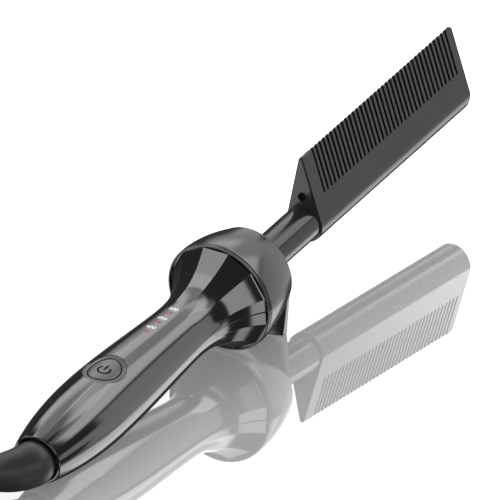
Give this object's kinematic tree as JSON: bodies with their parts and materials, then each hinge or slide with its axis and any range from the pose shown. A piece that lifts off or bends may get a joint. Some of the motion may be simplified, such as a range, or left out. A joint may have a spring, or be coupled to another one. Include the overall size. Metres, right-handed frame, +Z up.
{
  "type": "hot comb",
  "caption": "Electric hot comb: egg-shaped handle flaring into a bell with a stand foot, tubular neck, heated comb blade, and a swivelling mains lead with plug.",
  "frame": {"origin": "centre of the stand foot's footprint on the table", "axes": "+X along the comb towards the blade's tip, +Z up, teeth up; the comb rests on its foot and belly, its axis tipped up 5 degrees"},
  "size_m": [0.4732, 0.0679, 0.0669],
  "materials": {
    "handle_gloss": "high-gloss black",
    "plate_satin": "satin black",
    "neck_metal": "gloss black",
    "blade_coat": "matte dark grey non-stick coat",
    "dark_screw": "blackened",
    "ceramic_white": "unglazed",
    "heater_ceramic": "unglazed",
    "clamp_aluminium": "as extruded",
    "sensor_glass": "glazed bead",
    "fuse_steel": "plain",
    "wire_sleeve": "silicone sleeve",
    "board_green": "solder mask",
    "component_dark": "moulded",
    "switch_white": "moulded",
    "button_gloss": "gloss black",
    "bezel_gloss": "gloss black",
    "lamp_red": "tinted, unlit",
    "lens_red": "tinted, unlit",
    "screw_steel": "zinc plated",
    "swivel_nylon": "moulded",
    "contact_brass": "plain",
    "contact_copper": "sintered",
    "boot_rubber": "satin black",
    "cord_jacket": "satin black",
    "tie_plastic": "soft black",
    "plug_plastic": "moulded black"
  },
  "bodies": {
    "cord_set": {"swivel_spool": "swivel_nylon", "slip_rings": "contact_brass", "cord_boot": "boot_rubber", "cord_lead": "cord_jacket", "cord_hank": "cord_jacket", "cord_end": "cord_jacket", "cord_tie": "tie_plastic", "plug_body": "plug_plastic", "plug_blades": "contact_brass"},
    "comb_body": {"handle_upper_shell": "handle_gloss", "handle_lower_shell": "handle_gloss", "bell_cover_upper": "handle_gloss", "bell_cover_lower": "handle_gloss", "bell_front_plate": "plate_satin", "neck_tube": "neck_metal", "comb_blade": "blade_coat", "blade_end_cap": "neck_metal", "end_cap_screw": "dark_screw", "ceramic_insulator": "ceramic_white", "heater_element": "heater_ceramic", "heater_clamp_upper": "clamp_aluminium", "heater_clamp_lower": "clamp_aluminium", "thermistor": "sensor_glass", "thermal_fuse": "fuse_steel", "heater_leads": "wire_sleeve", "circuit_board": "board_green", "board_components": "component_dark", "switch_body": "component_dark", "button_bezel": "bezel_gloss", "indicator_leds": "lamp_red", "indicator_lenses": "lens_red", "shell_screws": "screw_steel", "board_screws": "screw_steel", "bell_screws": "screw_steel", "neck_screws": "screw_steel", "brush_holder": "switch_white", "contact_brushes": "contact_copper", "supply_leads": "wire_sleeve"},
    "power_button": {"power_button": "button_gloss"},
    "switch_plunger": {"switch_plunger": "switch_white"}
  },
  "joints": [
    {"name": "cord_swivel", "type": "hinge", "parent": "cord_set", "child": "comb_body", "pos_m": [-0.1483, 0, 0.01242], "axis": [0.9962, 0, 0.0872], "continuous": true},
    {"name": "button_press", "type": "slide", "parent": "comb_body", "child": "power_button", "axis": [0.0872, 0, -0.9962], "range_m": [0, 0.0005], "stiffness_N_per_m": 3000},
    {"name": "switch_press", "type": "slide", "parent": "comb_body", "child": "switch_plunger", "axis": [0.0872, 0, -0.9962], "range_m": [0, 0.0005]}
  ],
  "couplings": [
    {"joint": "switch_press", "follows": "button_press", "ratio": 1}
  ]
}
